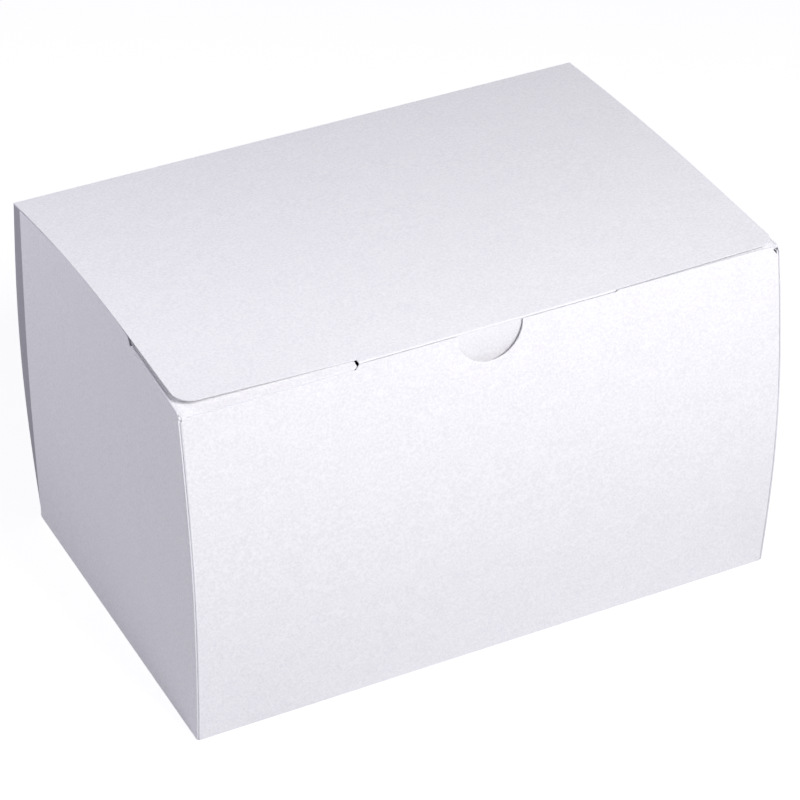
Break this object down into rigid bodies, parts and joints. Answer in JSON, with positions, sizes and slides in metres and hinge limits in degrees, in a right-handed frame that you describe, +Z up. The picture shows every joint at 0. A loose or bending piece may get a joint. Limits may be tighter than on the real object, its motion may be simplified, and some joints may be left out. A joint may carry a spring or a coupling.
{
  "type": "cake box",
  "caption": "Closed paperboard cake box with four glued corners, an arched hinged lid, a tuck flap behind a thumb notch, and dust flaps under the lid.",
  "frame": {"origin": "on the table under the middle of the closed box", "axes": "+X to the right when facing the front wall, +Y from the front wall with the thumb notch to the lid's hinge at the back, +Z up"},
  "size_m": [0.2328, 0.1614, 0.144],
  "materials": {
    "bleached_board": "white paperboard, satin clay-coated face",
    "scored_board": "the same board, scored and folded",
    "dried_glue": "dried hot-melt glue, translucent cream"
  },
  "bodies": {
    "tray": {"floor_panel": "bleached_board", "front_panel": "bleached_board", "back_panel": "bleached_board", "left_side_panel": "bleached_board", "right_side_panel": "bleached_board", "front_left_corner_flap": "bleached_board", "front_right_corner_flap": "bleached_board", "back_left_corner_flap": "bleached_board", "back_right_corner_flap": "bleached_board", "front_floor_crease": "scored_board", "back_floor_crease": "scored_board", "left_floor_crease": "scored_board", "right_floor_crease": "scored_board", "front_left_corner_crease": "scored_board", "front_right_corner_crease": "scored_board", "back_left_corner_crease": "scored_board", "back_right_corner_crease": "scored_board", "front_left_corner_glue": "dried_glue", "front_right_corner_glue": "dried_glue", "back_left_corner_glue": "dried_glue", "back_right_corner_glue": "dried_glue", "lid_crease": "scored_board", "left_dust_crease": "scored_board", "right_dust_crease": "scored_board"},
    "lid": {"lid_panel": "bleached_board", "tuck_crease": "scored_board"},
    "tuck_flap": {"tuck_flap": "bleached_board"},
    "left_dust_flap": {"left_dust_flap": "bleached_board"},
    "right_dust_flap": {"right_dust_flap": "bleached_board"}
  },
  "joints": [
    {"name": "lid_hinge", "type": "hinge", "parent": "tray", "child": "lid", "pos_m": [-0.00006, 0.0765, 0.139], "axis": [-1, 0, 0], "range_deg": [0, 240]},
    {"name": "tuck_hinge", "type": "hinge", "parent": "lid", "child": "tuck_flap", "pos_m": [-0.00006, -0.07545, 0.13825], "axis": [1, 0, 0], "range_deg": [0, 75]},
    {"name": "left_dust_hinge", "type": "hinge", "parent": "tray", "child": "left_dust_flap", "pos_m": [-0.11523, -0.0754, 0.13755], "axis": [-0.0269, -0.999, -0.0349], "range_deg": [0, 120]},
    {"name": "right_dust_hinge", "type": "hinge", "parent": "tray", "child": "right_dust_flap", "pos_m": [0.11513, -0.0754, 0.13755], "axis": [-0.0271, 0.999, 0.0349], "range_deg": [0, 120]}
  ],
  "couplings": [
    {"joint": "left_dust_hinge", "follows": "lid_hinge", "ratio": 0.5},
    {"joint": "right_dust_hinge", "follows": "lid_hinge", "ratio": 0.5}
  ]
}
